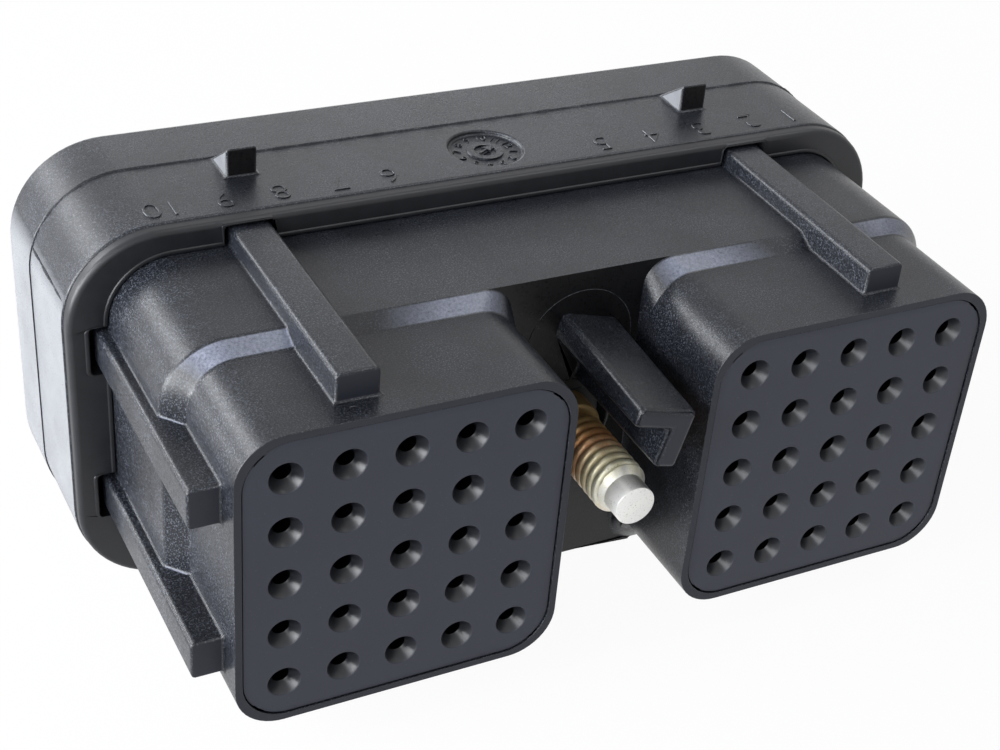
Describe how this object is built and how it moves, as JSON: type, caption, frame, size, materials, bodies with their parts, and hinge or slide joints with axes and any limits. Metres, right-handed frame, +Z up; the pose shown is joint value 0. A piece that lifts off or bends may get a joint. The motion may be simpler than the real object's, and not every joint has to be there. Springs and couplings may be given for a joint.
{
  "type": "sealed rectangular automotive plug connector",
  "caption": "Sealed rectangular wire plug with two blocks of countersunk contact holes, keying ribs and a centre jackscrew.",
  "frame": {"origin": "on the jackscrew's axis, in the plane of the two mating faces", "axes": "+X across the width to the right seen from the mating side, +Y from the mating side to the wires, +Z up"},
  "size_m": [0.0666, 0.0377, 0.0318],
  "materials": {
    "housing_plastic": "moulded",
    "insert_plastic": "moulded",
    "seal_rubber": "smooth",
    "ring_rubber": "smooth",
    "plated_steel": "zinc plated",
    "washer_steel": "plain"
  },
  "bodies": {
    "plug": {"housing": "housing_plastic", "interface_seal": "seal_rubber", "wire_seal": "seal_rubber", "left_face_insert": "insert_plastic", "right_face_insert": "insert_plastic", "left_retention_insert": "insert_plastic", "right_retention_insert": "insert_plastic", "thrust_washer": "washer_steel", "shank_seal": "ring_rubber"},
    "screw": {"jackscrew": "plated_steel", "retaining_ring": "washer_steel"}
  },
  "joints": [
    {"name": "jackscrew_spin", "type": "hinge", "parent": "plug", "child": "screw", "pos_m": [0, 0, 0], "axis": [0, 1, 0], "continuous": true}
  ]
}
